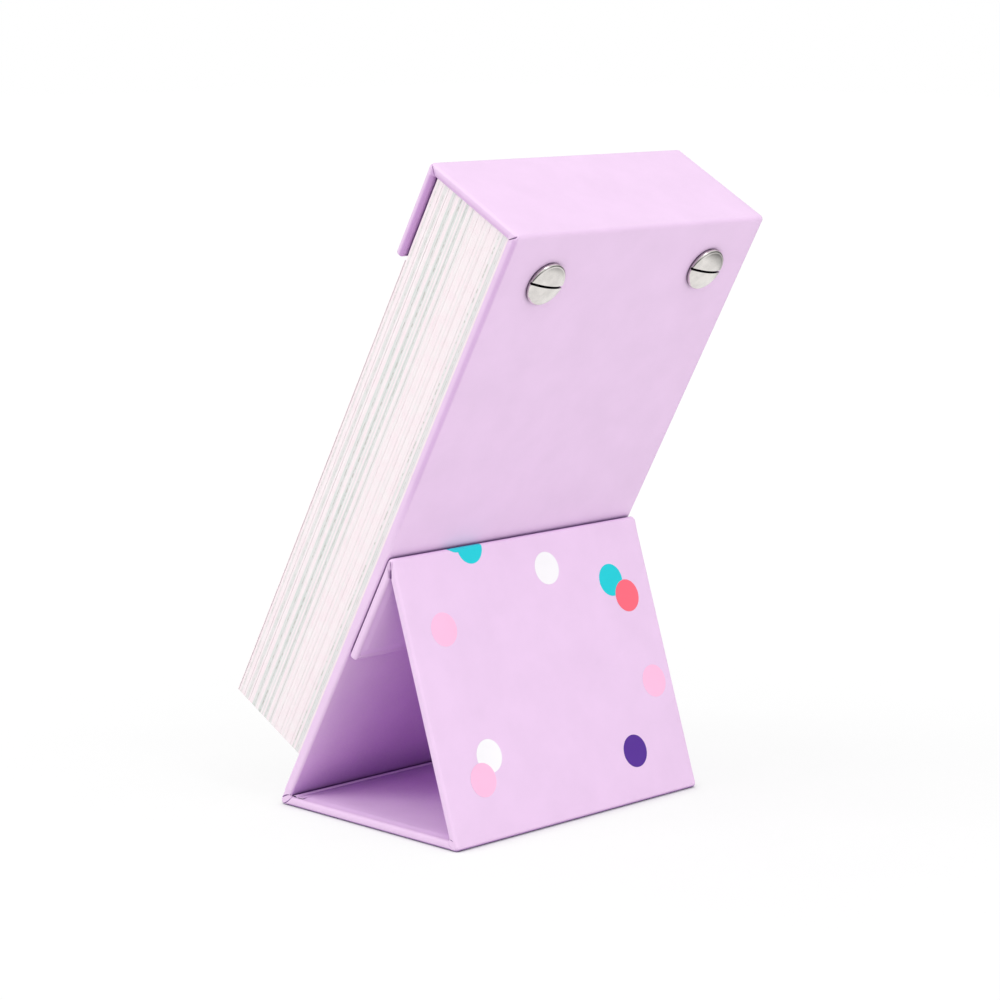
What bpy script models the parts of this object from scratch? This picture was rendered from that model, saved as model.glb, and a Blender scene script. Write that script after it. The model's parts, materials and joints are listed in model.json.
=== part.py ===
"""Post-bound desk calendar in a paper-covered board case that folds into its own easel.

The section through the case is drawn in the YZ plane. The back panel leans back from the heel fold,
the spine and the front strip close over the top of the page block, and two screw posts run through
strip, pages and back. From the heel the case goes on as the base on the table, then the stand, then
a flap that lies on the back panel, held there by magnets. Metres, +Z up, the pages face -Y.
"""

import math

import bmesh
import bpy
from mathutils import Matrix, Vector

MM = 0.001

# Outer sizes of the case
CASE_WIDTH = 75.0 * MM
BACK_HEIGHT = 148.1 * MM  # heel corner to the top of the spine, along the back
CASE_DEPTH = 28.4 * MM  # front of the strip to the back face
STRIP_HEIGHT = 21.8 * MM
BASE_LENGTH = 56.5 * MM  # heel corner to foot corner
APEX_HEIGHT = 70.7 * MM  # heel corner to the apex corner, along the back
FLAP_LENGTH = 27.4 * MM
LEAN = math.radians(61.0)  # back panel above the table

# Layers of a panel
BOARD = 1.5 * MM
PAPER = 0.15 * MM
GLUE_GAP = 0.1 * MM  # drawn between layers that are glued together
EDGE_RADIUS = 0.6 * MM
TURN_IN = 12.0 * MM
LINER_INSET = 1.5 * MM

# Folds
FOLD_RADIUS = 0.9 * MM
FOLD_CLEARANCE = 0.2 * MM  # keeps the inner corners of two panels apart
HINGE_PAPER = 0.3 * MM  # cover and lining glued together
FLAT_GAP = 0.4 * MM  # between panels folded flat on each other
FOOT_AXIS_DEPTH = 0.7 * MM
FLAP_GAP = 0.35 * MM  # flap to back panel

# Pages
SECTIONS = 12
PAGE_INSET = 0.45 * MM  # from the sides of the case
PAGE_BOTTOM_DROP = 134.8 * MM  # below the top of the spine
PAGE_TOP_GAP = 0.4 * MM
PAGE_BACK_GAP = 0.15 * MM
STRIP_GAP = 0.4 * MM
SECTION_GAP = 0.06 * MM
LEAF = 0.2 * MM
LEAF_GAP = 0.1 * MM
LEAF_BEND_DROP = 2.5 * MM  # the strip's lower edge to the line where a leaf bends

# Screw posts
POST_EDGE = 13.2 * MM  # a post's centre to the side of the case
POST_DROP = 11.75 * MM  # below the top of the spine
POST_RADIUS = 2.8 * MM
POST_HOLE_CLEARANCE = 0.3 * MM
POST_WALL = 0.65 * MM
POST_BORE_DEPTH = 14.0 * MM
POST_END_GAP = 0.3 * MM  # the barrel's end to the back face
SHANK_CLEARANCE = 0.25 * MM
SHANK_LENGTH = 10.0 * MM
HEAD_RADIUS = 4.85 * MM
HEAD_RIM = 0.45 * MM
HEAD_HEIGHT = 1.75 * MM
HEAD_SEAT_GAP = 0.1 * MM
SLOT_WIDTH = 0.8 * MM
SLOT_DEPTH = 1.4 * MM
SLOT_TURN = {"left": math.radians(-8.5), "right": math.radians(-7.0)}

# Magnets
MAGNET_RADIUS = 4.0 * MM
MAGNET_THICKNESS = 1.0 * MM
MAGNET_CLEARANCE = 0.1 * MM
MAGNET_INSET = 15.5 * MM  # a magnet's centre to the side of the case
MAGNET_EDGE = 8.0 * MM  # the flap's free edge to the magnets' centres

# Facets
EDGE_SEGMENTS = 3
FOLD_SEGMENTS = 8
ROUND_STEPS = 28
DOME_SEGMENTS = 6

SIDES = {"left": 1.0, "right": -1.0}  # seen from behind, left is +X

# Worked out from the sizes above
SKIN = PAPER + GLUE_GAP
EDGE_DEPTH = BOARD + 2 * SKIN
PANEL_DEPTH = EDGE_DEPTH + SKIN
FOLD_AXIS_DEPTH = PANEL_DEPTH + FLAT_GAP / 2
BLOCK_DEPTH = CASE_DEPTH - 2 * PANEL_DEPTH - STRIP_GAP  # back panel to the front of the page block
PAGE_BOTTOM = BACK_HEIGHT - PAGE_BOTTOM_DROP
PAGE_TOP = BACK_HEIGHT - PANEL_DEPTH - PAGE_TOP_GAP
PAGE_HALF_WIDTH = CASE_WIDTH / 2 - PAGE_INSET
LEAF_BEND = BACK_HEIGHT - STRIP_HEIGHT - LEAF_BEND_DROP
LEAF_BACK = BLOCK_DEPTH + LEAF_GAP
POST_HEIGHT = BACK_HEIGHT - POST_DROP
POST_PLACE = CASE_WIDTH / 2 - POST_EDGE  # from the middle of the case
POST_BORE_RADIUS = POST_RADIUS - POST_WALL
POST_LENGTH = CASE_DEPTH - POST_END_GAP
MAGNET_HEIGHT = APEX_HEIGHT - FLAP_LENGTH + MAGNET_EDGE
MAGNET_PLACE = CASE_WIDTH / 2 - MAGNET_INSET
CUT_MARGIN = 2.0 * MM  # how far a cutter runs past what it cuts
NEAR = 0.001 * MM  # closer than this is the same place

COLOURS = {
    "cover_paper": ((0.86, 0.70, 0.88), 0.42, 0.0),
    "lining_paper": ((0.85, 0.69, 0.87), 0.48, 0.0),
    "greyboard": ((0.45, 0.42, 0.38), 0.85, 0.0),
    "page_paper": ((0.93, 0.88, 0.89), 0.75, 0.0),
    "nickel": ((0.72, 0.70, 0.67), 0.25, 1.0),
    "magnet": ((0.55, 0.55, 0.56), 0.3, 1.0),
}


def heading(angle):
    """A unit vector of the section, as (y, z)."""
    return Vector((math.cos(angle), math.sin(angle)))


def turned(vector, angle):
    return Matrix.Rotation(angle, 2) @ vector


UP = heading(LEAN)
BACK = heading(LEAN - math.pi / 2)


def on_back(height, depth):
    """A point of the section, from the heel: height along the back, depth behind its page side."""
    return UP * height + BACK * depth


HEEL = Vector((0.0, 0.0))
FOOT = Vector((BASE_LENGTH, 0.0))
APEX = on_back(APEX_HEIGHT, PANEL_DEPTH + FLAP_GAP)
SPINE_BACK = on_back(BACK_HEIGHT, PANEL_DEPTH)
SPINE_FRONT = on_back(BACK_HEIGHT, PANEL_DEPTH - CASE_DEPTH)

# The origin is under the middle of the whole. The front leaf's lower corner reaches furthest forward,
# and the rounded edge between spine and back furthest to the rear.
FRONT_Y = on_back(PAGE_BOTTOM, -LEAF_BACK - LEAF)[0]
REAR_Y = (SPINE_BACK - (UP + BACK) * FOLD_RADIUS)[0] + FOLD_RADIUS
MIDDLE_Y = (FRONT_Y + REAR_Y) / 2


def section_frame(point, angle):
    """A frame at a point of the section: x across the case, y along the angle, z a quarter turn on."""
    return Matrix.Translation((0.0, point[0] - MIDDLE_Y, point[1])) @ Matrix.Rotation(angle, 4, "X")


PAGE_FRAME = section_frame(HEEL, LEAN)  # y up the back, z out of the front of the pages


class Fold:
    """A fold of the case: its outer corner, and the two panels that meet there with their depths."""

    def __init__(self, corner, first, second, second_depth=EDGE_DEPTH):
        self.corner = corner
        self.arms = [first.normalized(), second.normalized()]
        self.depths = [EDGE_DEPTH, second_depth]
        self.bisector = (self.arms[0] + self.arms[1]).normalized()
        self.angle = first.angle(second)
        self.setback = PANEL_DEPTH / math.tan(self.angle / 2) + FOLD_CLEARANCE

    def axis(self, depth):
        """The point inside the fold that lies this deep under both outer faces."""
        return self.corner + self.bisector * (depth / math.sin(self.angle / 2))

    def inward(self, arm):
        """The normal of a panel that points into the fold."""
        across = turned(arm, math.pi / 2)
        return across if across.dot(self.bisector) > 0 else -across

    def skin(self, reach, depth):
        """A line at this depth from one panel to the other, round at the corner."""
        radius = FOLD_RADIUS - depth
        centre = self.axis(FOLD_RADIUS)
        first, second = self.arms
        start = -self.inward(first)
        sweep = start.angle_signed(-self.inward(second))
        steps = [-sweep * i / FOLD_SEGMENTS for i in range(FOLD_SEGMENTS + 1)]
        arc = [centre + turned(start, step) * radius for step in steps]
        begin = self.corner + first * reach + self.inward(first) * depth
        end = self.corner + second * reach + self.inward(second) * depth
        return [begin, *arc, end]


FOLDS = {
    "strip": Fold(SPINE_FRONT, -UP, BACK),
    "spine": Fold(SPINE_BACK, -BACK, -UP),
    "heel": Fold(HEEL, FOOT - HEEL, UP, PANEL_DEPTH),
    "foot": Fold(FOOT, HEEL - FOOT, APEX - FOOT),
    "apex": Fold(APEX, FOOT - APEX, -UP),
}


class Panel:
    """A panel of the case, from a start corner to an end corner along its outer face.

    Its frame has x across, y from start to end and z outwards, with the outer face at z = 0. An end
    with no fold is free, and the cover turns in over it.
    """

    def __init__(self, start, end, start_fold, end_fold):
        along = end - start
        self.frame = section_frame(start, math.atan2(along[1], along[0]))
        self.free_start = start_fold is None
        self.start = 0.0 if self.free_start else FOLDS[start_fold].setback
        self.end = along.length - FOLDS[end_fold].setback

    def span(self, inset, overrun=0.0):
        """Where a layer starts and ends: inset from a free end, and run past a fold's end."""
        return (self.start + inset if self.free_start else self.start - overrun, self.end + overrun)


PANELS = {
    "strip": Panel(SPINE_FRONT - UP * STRIP_HEIGHT, SPINE_FRONT, None, "strip"),
    "spine": Panel(SPINE_FRONT, SPINE_BACK, "strip", "spine"),
    "back": Panel(SPINE_BACK, on_back(0.0, PANEL_DEPTH), "spine", "heel"),
    "flap": Panel(APEX - UP * FLAP_LENGTH, APEX, None, "apex"),
    "stand": Panel(APEX, FOOT, "apex", "foot"),
    "base": Panel(FOOT, HEEL, "foot", "heel"),
}


def clear_scene():
    for thing in list(bpy.data.objects):
        bpy.data.objects.remove(thing, do_unlink=True)


def new_collection(name):
    collection = bpy.data.collections.new(name)
    bpy.context.scene.collection.children.link(collection)
    return collection


def new_material(name):
    colour, roughness, metallic = COLOURS[name]
    material = bpy.data.materials.new(name)
    material.use_nodes = True
    material.diffuse_color = (*colour, 1.0)
    shader = material.node_tree.nodes["Principled BSDF"]
    shader.inputs["Base Color"].default_value = (*colour, 1.0)
    shader.inputs["Roughness"].default_value = roughness
    shader.inputs["Metallic"].default_value = metallic
    return material


clear_scene()
PARTS = new_collection("desk_calendar")
CUTTERS = new_collection("cutters")
MATERIALS = {name: new_material(name) for name in COLOURS}


class Carrier:
    """An empty that carries pieces, which keep the place they are given."""

    def __init__(self, name, matrix, parent=None):
        self.matrix = matrix
        self.empty = bpy.data.objects.new(name, None)
        self.empty.empty_display_size = 10 * MM
        PARTS.objects.link(self.empty)
        if parent:
            parent.take(self.empty, matrix)
        else:
            self.empty.matrix_basis = matrix

    def take(self, piece, matrix):
        piece.parent = self.empty
        piece.matrix_parent_inverse = self.matrix.inverted()
        piece.matrix_basis = matrix


ROOT = Carrier("table", Matrix())
CASE = Carrier("heel_axis", section_frame(FOLDS["heel"].axis(FOLD_AXIS_DEPTH), 0.0), ROOT)
STAND = Carrier("foot_axis", section_frame(FOLDS["foot"].axis(FOOT_AXIS_DEPTH), 0.0), ROOT)
FLAP = Carrier("apex_axis", section_frame(FOLDS["apex"].axis(FOLD_AXIS_DEPTH), 0.0), STAND)
LEAF_AXIS = Carrier(
    "leaf_axis", PAGE_FRAME @ Matrix.Translation((0.0, LEAF_BEND, LEAF_BACK + LEAF / 2)), CASE
)
CARRIERS = {"strip": CASE, "spine": CASE, "back": CASE, "flap": FLAP, "stand": STAND, "base": ROOT}
HINGE_CARRIERS = {"strip": CASE, "spine": CASE, "heel": ROOT, "foot": ROOT, "apex": STAND}


def add_part(piece, material, carrier, matrix):
    PARTS.objects.link(piece)
    piece.data.materials.append(MATERIALS[material])
    carrier.take(piece, matrix)
    return piece


def add_cutter(piece, matrix):
    CUTTERS.objects.link(piece)
    piece.matrix_basis = matrix
    piece.hide_render = True
    piece.display_type = "WIRE"
    return piece


def cut(piece, cutter):
    difference = piece.modifiers.new(cutter.name, "BOOLEAN")
    difference.operation = "DIFFERENCE"
    difference.solver = "EXACT"
    difference.object = cutter


def round_edges(piece, radius, wanted):
    """A Bevel on the edges whose two ends pass the test."""
    mesh = piece.data
    weights = mesh.attributes.new("bevel_weight_edge", "FLOAT", "EDGE")
    for edge in mesh.edges:
        ends = [mesh.vertices[i].co for i in edge.vertices]
        weights.data[edge.index].value = 1.0 if wanted(*ends) else 0.0
    bevel = piece.modifiers.new("rounded", "BEVEL")
    bevel.limit_method = "WEIGHT"
    bevel.width = radius
    bevel.segments = EDGE_SEGMENTS
    bevel.use_clamp_overlap = False


def box(name, x, y, z):
    """A box between the low and high ends of x, y and z."""
    low, high = Vector((x[0], y[0], z[0])), Vector((x[1], y[1], z[1]))
    shape = bmesh.new()
    bmesh.ops.create_cube(shape, size=1.0)
    bmesh.ops.scale(shape, vec=high - low, verts=shape.verts)
    bmesh.ops.translate(shape, vec=(low + high) / 2, verts=shape.verts)
    mesh = bpy.data.meshes.new(name)
    shape.to_mesh(mesh)
    shape.free()
    return bpy.data.objects.new(name, mesh)


def disc(name, radius, bottom, top, place=(0.0, 0.0)):
    """A cylinder along z between two heights."""
    shape = bmesh.new()
    bmesh.ops.create_cone(
        shape, cap_ends=True, segments=ROUND_STEPS, radius1=radius, radius2=radius, depth=top - bottom
    )
    bmesh.ops.translate(shape, vec=(*place, (bottom + top) / 2), verts=shape.verts)
    mesh = bpy.data.meshes.new(name)
    shape.to_mesh(mesh)
    shape.free()
    return bpy.data.objects.new(name, mesh)


def turned_piece(name, profile):
    """A piece turned about z from a profile of (radius, height), run down its outer side."""
    mesh = bpy.data.meshes.new(name)
    edges = [(i, i + 1) for i in range(len(profile) - 1)]
    mesh.from_pydata([(radius, 0.0, height) for radius, height in profile], edges, [])
    piece = bpy.data.objects.new(name, mesh)
    screw = piece.modifiers.new("turned", "SCREW")
    screw.axis = "Z"
    screw.steps = ROUND_STEPS
    screw.render_steps = ROUND_STEPS
    screw.use_merge_vertices = True
    screw.merge_threshold = 0.01 * MM
    return piece


def dome(rim, height):
    """Profile of a low domed head from its crown to the rim, above z = 0."""
    rise = height - rim
    sphere = (HEAD_RADIUS**2 + rise**2) / (2 * rise)
    spread = math.asin(HEAD_RADIUS / sphere)
    angles = [spread * i / DOME_SEGMENTS for i in range(DOME_SEGMENTS + 1)]
    return [(sphere * math.sin(a), height - sphere * (1 - math.cos(a))) for a in angles]


def section_prism(name, outline, half_width):
    """An outline of the section, given width: a filled 2D curve extruded across the case, as a mesh."""
    curve = bpy.data.curves.new(name, "CURVE")
    curve.dimensions = "2D"
    curve.fill_mode = "BOTH"
    curve.extrude = half_width
    spline = curve.splines.new("POLY")
    spline.points.add(len(outline) - 1)
    for point, place in zip(spline.points, outline):
        point.co = (*place, 0.0, 1.0)
    spline.use_cyclic_u = True
    flat = bpy.data.objects.new(name, curve)
    PARTS.objects.link(flat)
    graph = bpy.context.evaluated_depsgraph_get()
    mesh = bpy.data.meshes.new_from_object(flat.evaluated_get(graph))
    bpy.data.objects.remove(flat, do_unlink=True)
    shape = bmesh.new()
    shape.from_mesh(mesh)
    bmesh.ops.remove_doubles(shape, verts=shape.verts, dist=NEAR)
    # The filled ends come as triangles, and a Bevel needs each as one face
    bmesh.ops.dissolve_limit(
        shape, angle_limit=math.radians(1.0), verts=shape.verts, edges=shape.edges
    )
    # The curve's x and y are the section's y and z, and its extrusion runs across the case
    across = Matrix(((0, 0, 1, 0), (1, 0, 0, 0), (0, 1, 0, 0), (0, 0, 0, 1)))
    bmesh.ops.transform(shape, matrix=across, verts=shape.verts)
    bmesh.ops.recalc_face_normals(shape, faces=shape.faces)
    shape.to_mesh(mesh)
    shape.free()
    mesh.name = name
    return bpy.data.objects.new(name, mesh)


def slab(name, panel, inset, overrun=0.0):
    """The panel's rounded block, drawn this far inside its outer surface."""
    half = CASE_WIDTH / 2 - inset
    start, end = panel.span(inset, overrun)
    piece = box(name, (-half, half), (start, end), (inset - EDGE_DEPTH, -inset))

    def rounded(a, b):
        runs_along = abs(a.y - b.y) > NEAR
        at_free_end = panel.free_start and abs(a.y - start) < NEAR and abs(b.y - start) < NEAR
        return runs_along or at_free_end

    round_edges(piece, EDGE_RADIUS - inset, rounded)
    return piece


def make_wrap(name, panel):
    """Cover paper on the outer face, round the edges and turned in on the inner face."""
    wrap = slab(f"{name}_wrap", panel, 0.0)
    add_part(wrap, "cover_paper", CARRIERS[name], panel.frame)
    room = slab(f"{name}_board_room", panel, PAPER, CUT_MARGIN)
    cut(wrap, add_cutter(room, panel.frame))
    half = CASE_WIDTH / 2 - TURN_IN
    window = box(
        f"{name}_window",
        (-half, half),
        panel.span(TURN_IN, CUT_MARGIN),
        (-EDGE_DEPTH - CUT_MARGIN, -EDGE_DEPTH / 2),
    )
    cut(wrap, add_cutter(window, panel.frame))
    return wrap


def make_board(name, panel):
    board = slab(f"{name}_board", panel, SKIN)
    return add_part(board, "greyboard", CARRIERS[name], panel.frame)


def make_liner(name, panel):
    """Lining paper over the turned-in edges of the cover."""
    half = CASE_WIDTH / 2 - LINER_INSET
    depth = (-PANEL_DEPTH, PAPER - PANEL_DEPTH)
    liner = box(f"{name}_liner", (-half, half), panel.span(LINER_INSET), depth)
    return add_part(liner, "lining_paper", CARRIERS[name], panel.frame)


def make_hinge(name, fold, carrier):
    """The paper of a fold: both sheets together round the corner, closed by turned-in gussets."""
    origin = section_frame(HEEL, 0.0)
    half = CASE_WIDTH / 2
    reach = fold.setback - GLUE_GAP
    outside = fold.skin(reach, 0.0)
    inner = [
        fold.corner + arm * reach + fold.inward(arm) * depth
        for arm, depth in zip(fold.arms, fold.depths)
    ]
    hinge = section_prism(f"{name}_hinge_paper", [*outside, inner[1], inner[0]], half)

    def on_skin(point):
        return any((point.yz - place).length < NEAR for place in outside)

    def rounded(a, b):
        return abs(a.x - b.x) < NEAR and on_skin(a) and on_skin(b)

    round_edges(hinge, EDGE_RADIUS, rounded)
    add_part(hinge, "cover_paper", carrier, origin)
    past = fold.setback + CUT_MARGIN
    far = fold.corner + fold.bisector * (past / math.cos(fold.angle / 2) + CUT_MARGIN)
    hollow = section_prism(
        f"{name}_hollow", [*fold.skin(past, HINGE_PAPER), far], half - EDGE_RADIUS
    )
    cut(hinge, add_cutter(hollow, origin))
    return hinge


def make_section(number):
    """A month's pages. The first lies at the front of the block."""
    pitch = (BLOCK_DEPTH - PAGE_BACK_GAP) / SECTIONS
    back = PAGE_BACK_GAP + (SECTIONS - number) * pitch
    pages = box(
        f"pages_{number:02d}",
        (-PAGE_HALF_WIDTH, PAGE_HALF_WIDTH),
        (PAGE_BOTTOM, PAGE_TOP),
        (back, back + pitch - SECTION_GAP),
    )
    return add_part(pages, "page_paper", CASE, PAGE_FRAME)


def make_front_leaf():
    """The leaf that lifts, from its bend below the strip down to the bottom of the block."""
    leaf = box(
        "front_leaf",
        (-PAGE_HALF_WIDTH, PAGE_HALF_WIDTH),
        (PAGE_BOTTOM - LEAF_BEND, 0.0),
        (-LEAF / 2, LEAF / 2),
    )
    return add_part(leaf, "page_paper", LEAF_AXIS, LEAF_AXIS.matrix)


def make_post(side):
    """The barrel, from its head on the strip to just inside the back face, with its bore behind."""
    end = -POST_LENGTH
    bore_end = end + POST_BORE_DEPTH
    head = [(r, HEAD_SEAT_GAP + h) for r, h in dome(HEAD_RIM, HEAD_HEIGHT)]
    profile = [
        *head,
        (HEAD_RADIUS, HEAD_SEAT_GAP),
        (POST_RADIUS, HEAD_SEAT_GAP),
        (POST_RADIUS, end),
        (POST_BORE_RADIUS, end),
        (POST_BORE_RADIUS, bore_end),
        (0.0, bore_end),
    ]
    barrel = turned_piece(f"post_barrel_{side}", profile)
    place = section_frame(on_back(POST_HEIGHT, PANEL_DEPTH - CASE_DEPTH), LEAN)
    across = Matrix.Translation((SIDES[side] * POST_PLACE, 0.0, 0.0))
    return add_part(barrel, "nickel", CASE, across @ place)


def make_screw(side):
    """The slotted screw, its head on the back face and its shank in the barrel's bore."""
    shank = POST_BORE_RADIUS - SHANK_CLEARANCE
    head = [(r, HEAD_SEAT_GAP + h) for r, h in dome(HEAD_RIM, HEAD_HEIGHT)]
    profile = [
        *head,
        (HEAD_RADIUS, HEAD_SEAT_GAP),
        (shank, HEAD_SEAT_GAP),
        (shank, -SHANK_LENGTH),
        (0.0, -SHANK_LENGTH),
    ]
    screw = turned_piece(f"binding_screw_{side}", profile)
    place = section_frame(on_back(POST_HEIGHT, PANEL_DEPTH), LEAN - math.pi)
    across = Matrix.Translation((SIDES[side] * POST_PLACE, 0.0, 0.0))
    add_part(screw, "nickel", CASE, across @ place)
    crown = HEAD_SEAT_GAP + HEAD_HEIGHT
    reach = HEAD_RADIUS + CUT_MARGIN
    slot = box(
        f"slot_{side}",
        (-reach, reach),
        (-SLOT_WIDTH / 2, SLOT_WIDTH / 2),
        (crown - SLOT_DEPTH, crown + CUT_MARGIN),
    )
    turn = Matrix.Rotation(SLOT_TURN[side], 4, "Z")
    cut(screw, add_cutter(slot, across @ place @ turn))
    return screw


def make_post_hole(side):
    """The cutter for one post, through the strip, the pages and the back."""
    radius = POST_RADIUS + POST_HOLE_CLEARANCE
    hole = disc(f"post_hole_{side}", radius, -PANEL_DEPTH - CUT_MARGIN, CASE_DEPTH)
    place = PAGE_FRAME @ Matrix.Translation((SIDES[side] * POST_PLACE, POST_HEIGHT, 0.0))
    return add_cutter(hole, place)


def make_magnets(name, panel, height, board):
    """Two magnets sunk in pockets of the board, just under the cover on its outer face."""
    for side, sign in SIDES.items():
        place = (sign * MAGNET_PLACE, height)
        top = -SKIN
        bottom = top - MAGNET_THICKNESS
        magnet = disc(f"{name}_magnet_{side}", MAGNET_RADIUS, bottom, top, place)
        add_part(magnet, "magnet", CARRIERS[name], panel.frame)
        pocket = disc(
            f"{name}_pocket_{side}",
            MAGNET_RADIUS + MAGNET_CLEARANCE,
            bottom - MAGNET_CLEARANCE,
            top + CUT_MARGIN,
            place,
        )
        cut(board, add_cutter(pocket, panel.frame))


def make_calendar():
    holes = [make_post_hole(side) for side in SIDES]
    drilled = [make_section(number + 1) for number in range(SECTIONS)]
    boards = {}
    for name, panel in PANELS.items():
        boards[name] = make_board(name, panel)
        layers = [boards[name], make_wrap(name, panel), make_liner(name, panel)]
        if name in ("strip", "back"):
            drilled += layers
    for piece in drilled:
        for hole in holes:
            cut(piece, hole)
    for name, fold in FOLDS.items():
        make_hinge(name, fold, HINGE_CARRIERS[name])
    make_magnets("back", PANELS["back"], BACK_HEIGHT - MAGNET_HEIGHT, boards["back"])
    make_magnets("flap", PANELS["flap"], MAGNET_EDGE, boards["flap"])
    for side in SIDES:
        make_post(side)
        make_screw(side)
    make_front_leaf()


make_calendar()
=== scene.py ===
"""Looks of the post-bound desk calendar: covered boards, folds, page sheets, screws and print.

Everything is in metres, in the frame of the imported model: +Z up, +X to the photographed left, and the pages
face -Y. A point of the section through the case is a pair (y, z) measured from the heel corner.
"""

import json
import math
import random

import bmesh
import bpy
from mathutils import Matrix, Vector, noise

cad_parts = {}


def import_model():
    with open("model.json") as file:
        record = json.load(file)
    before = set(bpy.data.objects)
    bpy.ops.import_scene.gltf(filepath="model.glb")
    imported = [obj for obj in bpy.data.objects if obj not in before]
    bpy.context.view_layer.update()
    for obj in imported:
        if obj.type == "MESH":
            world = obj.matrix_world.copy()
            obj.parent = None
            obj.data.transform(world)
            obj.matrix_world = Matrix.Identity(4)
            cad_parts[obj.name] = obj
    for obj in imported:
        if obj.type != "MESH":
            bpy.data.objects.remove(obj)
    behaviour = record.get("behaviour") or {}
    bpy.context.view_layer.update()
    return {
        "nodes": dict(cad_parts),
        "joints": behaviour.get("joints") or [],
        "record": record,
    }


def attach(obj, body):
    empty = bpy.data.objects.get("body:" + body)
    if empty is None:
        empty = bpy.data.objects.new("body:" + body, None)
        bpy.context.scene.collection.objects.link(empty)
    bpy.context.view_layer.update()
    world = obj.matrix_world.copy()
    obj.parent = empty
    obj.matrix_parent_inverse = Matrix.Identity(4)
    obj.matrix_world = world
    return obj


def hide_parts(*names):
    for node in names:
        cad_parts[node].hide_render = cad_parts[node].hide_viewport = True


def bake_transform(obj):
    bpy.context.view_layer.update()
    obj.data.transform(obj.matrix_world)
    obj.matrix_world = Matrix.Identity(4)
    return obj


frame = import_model()

MM = 0.001

# Sizes of the case, as the model has them
CASE_WIDTH = 75.0 * MM
BACK_HEIGHT = 148.1 * MM
CASE_DEPTH = 28.4 * MM
STRIP_HEIGHT = 21.8 * MM
BASE_LENGTH = 56.5 * MM
APEX_HEIGHT = 70.7 * MM
FLAP_LENGTH = 27.4 * MM
LEAN = math.radians(61.0)
BOARD = 1.5 * MM
PAPER = 0.15 * MM
GLUE_GAP = 0.1 * MM
TURN_IN = 12.0 * MM
LINER_INSET = 1.5 * MM
FOLD_RADIUS = 0.9 * MM
FOLD_CLEARANCE = 0.2 * MM
HINGE_PAPER = 0.3 * MM
FLAP_GAP = 0.35 * MM
SKIN = PAPER + GLUE_GAP
EDGE_DEPTH = BOARD + 2 * SKIN
PANEL_DEPTH = EDGE_DEPTH + SKIN
FLUSH_DEPTH = PANEL_DEPTH - 0.01 * MM  # of the edges that the pages meet
HALF_WIDTH = CASE_WIDTH / 2
NEAR = 0.001 * MM  # closer than this is the same place

# Pages and the front leaf
SHEETS_PER_SECTION = 15
SHEET_GAP = 0.004 * MM
SHEET_INSET = 0.45 * MM  # of the cut edges from the sides of their section's solid
SHEET_RISE = 0.3 * MM  # up towards the spine
LEAF_BEND_DROP = 2.5 * MM
LEAF_ROOT = 2.2 * MM  # how far the leaf's sheet runs up behind the strip, past its bend
LEAF_STEP = 0.35 * MM  # between its rows round the bend
LEAF_THINNING = 0.04 * MM  # how much thinner it is than its solid
SECTION_JOG = 0.02 * MM  # the most that a section lies out of line
SHEET_JOG = 0.025 * MM  # the same for a sheet, sideways
SHEET_DROP = 0.05 * MM  # and at its lower edge
RIPPLE_LENGTH = 18 * MM
RIPPLE_HEIGHT = 0.03 * MM

# Screw heads
HEAD_RADIUS = 4.85 * MM
HEAD_RIM = 0.85 * MM
HEAD_ROUND = 0.5 * MM  # radius of the rim's edge
HEAD_HEIGHT = 1.75 * MM
HEAD_SEAT_GAP = 0.1 * MM
POST_RADIUS = 2.8 * MM
SLOT_WIDTH = 0.55 * MM
SLOT_DEPTH = 1.4 * MM
SLOT_TURN = {"left": math.radians(-8.5), "right": math.radians(-7.0)}
HEAD_STEPS = 96
SHANK_INSET = 0.9 * MM  # the screw's shank inside its barrel
SHANK_LENGTH = 10 * MM
POST_END_GAP = 0.3 * MM
CUTTER_HEIGHT = 3 * MM
CUTTER_MARGIN = 2 * MM
SOFT_EDGE = 0.07 * MM

# Soft detail of the covered boards
COVER_RADIUS = 0.7 * MM
INNER_RADII = {
    "strip": 0.9 * MM,
    "spine": 0.8 * MM,
    "back": 0.3 * MM,
    "flap": 0.8 * MM,
    "stand": 0.6 * MM,
    "base": 0.8 * MM,
}
LINING_FEATHER = 1.8 * MM  # over which the lining's edges come down to the cover
COVER_SEGMENTS = 6
GRID_STEP = 3.0 * MM
WAVE_HEIGHT = 0.012 * MM
WAVE_LENGTH = 16.0 * MM
STATION_STEP = 0.1 * MM  # between rows of the paper round a fold
CREASE_WIDTH = 0.17 * MM
SIDE_STEP = 0.35 * MM  # between rows on the sides of the panels
END_FADE = 6 * MM  # over which a panel's waves start
LINING_SKIN = 0.05 * MM

# Colours, as 8-bit sRGB
LILAC = (233, 202, 235)
LINING_LILAC = (236, 204, 240)
PRINT_COLOURS = {
    "teal": (0, 206, 216),
    "coral": (252, 104, 124),
    "pink": (255, 190, 224),
    "white": (245, 244, 246),
    "purple": (84, 38, 148),
}
PAGE_WHITE = (245, 237, 239)
PAGE_PINK = (246, 231, 236)
PAGE_GREY = (217, 222, 219)
PAGE_LINE = (190, 186, 180)
GREYBOARD = (150, 144, 134)
NICKEL = (232, 228, 224)
MAGNET_GREY = (178, 178, 180)


def heading(angle):
    """A unit vector of the section, as (y, z)."""
    return Vector((math.cos(angle), math.sin(angle)))


def turned(vector, angle):
    return Matrix.Rotation(angle, 2) @ vector


UP = heading(LEAN)
BACK = heading(LEAN - math.pi / 2)
JOINTS = {joint["name"]: joint for joint in frame["joints"]}
HEEL_AXIS = Vector(JOINTS["heel_fold"]["pos_m"][1:])
HEEL_Y = HEEL_AXIS[0] - HEEL_AXIS[1] / math.tan(LEAN / 2)


def on_back(height, depth):
    """A point of the section: height up the back from the heel, depth behind its page side."""
    return UP * height + BACK * depth


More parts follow.
